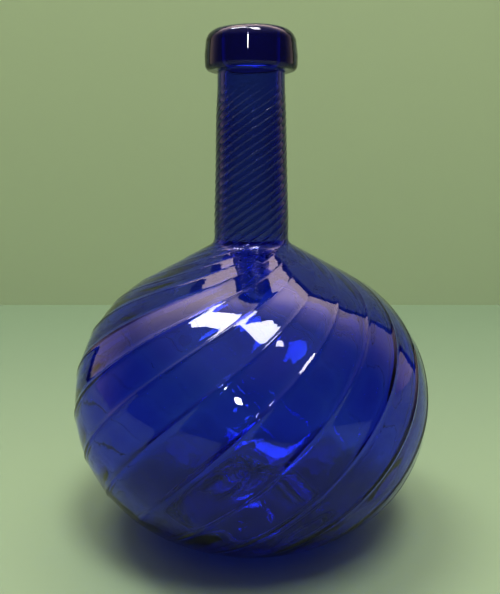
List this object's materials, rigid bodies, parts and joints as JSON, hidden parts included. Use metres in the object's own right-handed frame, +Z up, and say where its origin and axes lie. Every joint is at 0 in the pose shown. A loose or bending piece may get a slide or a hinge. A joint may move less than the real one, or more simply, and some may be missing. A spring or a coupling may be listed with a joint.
{
  "type": "antique glass bottle",
  "caption": "Free-blown globular glass bottle with swirled ribs, a drawn ribbed neck, a laid-on collar lip and a push-up base.",
  "frame": {"origin": "centre of the resting ring, on the surface the bottle stands on", "axes": "+Z up along the bottle's axis, through the mouth; +X and +Y level, with -Y towards the side seen from the front"},
  "size_m": [0.1348, 0.1344, 0.1824],
  "materials": {
    "body_glass": "fire-polished cobalt blue glass, clear",
    "neck_glass": "fire-polished cobalt blue glass, ribbed",
    "collar_glass": "tooled and fire-polished cobalt blue glass, thick and dark",
    "scar_glass": "rough broken cobalt blue glass"
  },
  "bodies": {
    "root": {"bulb": "body_glass", "neck": "neck_glass", "collar": "collar_glass", "pontil_scar": "scar_glass"}
  },
  "joints": []
}
